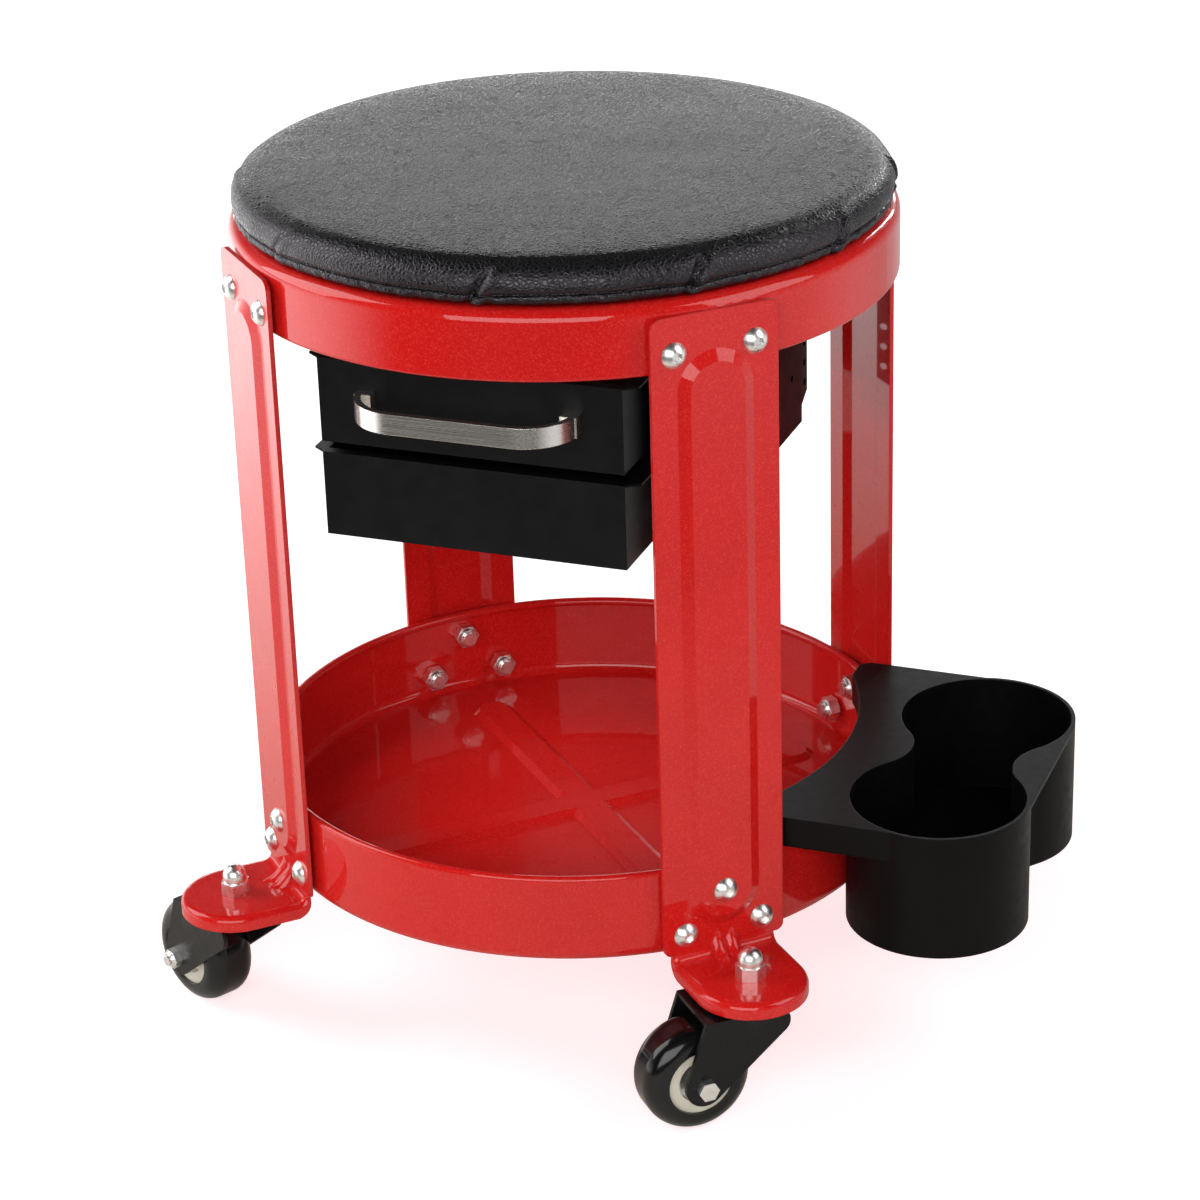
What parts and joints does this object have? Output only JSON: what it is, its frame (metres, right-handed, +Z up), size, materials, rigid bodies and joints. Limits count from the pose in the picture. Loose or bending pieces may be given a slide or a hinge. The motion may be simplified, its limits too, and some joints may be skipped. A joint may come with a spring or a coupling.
{
  "type": "creeper stool",
  "caption": "Round padded work stool on swivel casters, with a tray pan below, stacked drawers under the seat and a hang-on cup holder at the tray rim.",
  "frame": {"origin": "on the floor, under the middle of the object's box with casters as pictured and drawers shut", "axes": "+Z up from the floor; the drawers open towards -Y; the cup holder hangs at +X"},
  "size_m": [0.4812, 0.4134, 0.468],
  "materials": {
    "vinyl": "black grained vinyl, soft sheen",
    "plywood": "raw plywood",
    "red_coat": "gloss red powder coat",
    "black_coat": "satin black powder coat",
    "caster_black": "gloss black coat",
    "zinc": "zinc plated steel",
    "nickel": "nickel plated",
    "black_moulding": "matte black moulded plastic",
    "tyre_black": "gloss black wheel tread",
    "hub_cream": "cream nylon hub"
  },
  "bodies": {
    "frame": {"seat_cushion": "vinyl", "seat_board": "plywood", "seat_pan": "red_coat", "seat_screws": "zinc", "tray_pan": "red_coat", "leg_bolts_upper": "zinc", "leg_nuts_upper": "zinc", "leg_bolts_lower": "zinc", "leg_nuts_lower": "zinc", "runner_rivets": "zinc", "caster_cap_nuts": "zinc", "caster_race_caps": "caster_black", "leg_front_right": "red_coat", "caster_stem_front_right": "zinc", "leg_front_left": "red_coat", "caster_stem_front_left": "zinc", "leg_rear_left": "red_coat", "caster_stem_rear_left": "zinc", "leg_rear_right": "red_coat", "caster_stem_rear_right": "zinc", "drawer_carrier_right": "black_coat", "runner_upper_right": "black_coat", "runner_lower_right": "black_coat", "drawer_carrier_left": "black_coat", "runner_upper_left": "black_coat", "runner_lower_left": "black_coat"},
    "upper_drawer": {"drawer_upper": "black_coat", "drawer_handle": "nickel", "handle_screws": "zinc"},
    "lower_drawer": {"drawer_lower": "black_coat"},
    "cup_holder": {"cup_holder": "black_moulding"},
    "swivel_front_right": {"caster_fork_front_right": "caster_black", "axle_bolt_front_right": "zinc", "axle_nut_front_right": "zinc", "axle_sleeve_front_right": "zinc"},
    "wheel_front_right": {"wheel_tyre_front_right": "tyre_black", "wheel_hub_front_right": "hub_cream", "wheel_bearings_front_right": "zinc"},
    "swivel_front_left": {"caster_fork_front_left": "caster_black", "axle_bolt_front_left": "zinc", "axle_nut_front_left": "zinc", "axle_sleeve_front_left": "zinc"},
    "wheel_front_left": {"wheel_tyre_front_left": "tyre_black", "wheel_hub_front_left": "hub_cream", "wheel_bearings_front_left": "zinc"},
    "swivel_rear_left": {"caster_fork_rear_left": "caster_black", "axle_bolt_rear_left": "zinc", "axle_nut_rear_left": "zinc", "axle_sleeve_rear_left": "zinc"},
    "wheel_rear_left": {"wheel_tyre_rear_left": "tyre_black", "wheel_hub_rear_left": "hub_cream", "wheel_bearings_rear_left": "zinc"},
    "swivel_rear_right": {"caster_fork_rear_right": "caster_black", "axle_bolt_rear_right": "zinc", "axle_nut_rear_right": "zinc", "axle_sleeve_rear_right": "zinc"},
    "wheel_rear_right": {"wheel_tyre_rear_right": "tyre_black", "wheel_hub_rear_right": "hub_cream", "wheel_bearings_rear_right": "zinc"}
  },
  "joints": [
    {"name": "upper_drawer_slide", "type": "slide", "parent": "frame", "child": "upper_drawer", "axis": [0, -1, 0], "range_m": [0, 0.19]},
    {"name": "lower_drawer_slide", "type": "slide", "parent": "frame", "child": "lower_drawer", "axis": [0, -1, 0], "range_m": [0, 0.19]},
    {"name": "cup_holder_lift", "type": "slide", "parent": "frame", "child": "cup_holder", "axis": [0, 0, 1], "range_m": [0, 0.08]},
    {"name": "swivel_front_right", "type": "hinge", "parent": "frame", "child": "swivel_front_right", "pos_m": [0.11812, -0.15594, 0.0675], "axis": [0, 0, 1], "continuous": true},
    {"name": "wheel_spin_front_right", "type": "hinge", "parent": "swivel_front_right", "child": "wheel_front_right", "pos_m": [0.09252, -0.17981, 0.03], "axis": [0.682, -0.7314, 0], "continuous": true},
    {"name": "swivel_front_left", "type": "hinge", "parent": "frame", "child": "swivel_front_left", "pos_m": [-0.18028, -0.15594, 0.0675], "axis": [0, 0, 1], "continuous": true},
    {"name": "wheel_spin_front_left", "type": "hinge", "parent": "swivel_front_left", "child": "wheel_front_left", "pos_m": [-0.21089, -0.13898, 0.03], "axis": [-0.4848, -0.8746, 0], "continuous": true},
    {"name": "swivel_rear_left", "type": "hinge", "parent": "frame", "child": "swivel_rear_left", "pos_m": [-0.18028, 0.14246, 0.0675], "axis": [0, 0, 1], "continuous": true},
    {"name": "wheel_spin_rear_left", "type": "hinge", "parent": "swivel_rear_left", "child": "wheel_rear_left", "pos_m": [-0.14739, 0.15443, 0.03], "axis": [-0.342, 0.9397, 0], "continuous": true},
    {"name": "swivel_rear_right", "type": "hinge", "parent": "frame", "child": "swivel_rear_right", "pos_m": [0.11812, 0.14246, 0.0675], "axis": [0, 0, 1], "continuous": true},
    {"name": "wheel_spin_rear_right", "type": "hinge", "parent": "swivel_rear_right", "child": "wheel_rear_right", "pos_m": [0.12718, 0.17626, 0.03], "axis": [-0.9659, 0.2588, 0], "continuous": true}
  ]
}
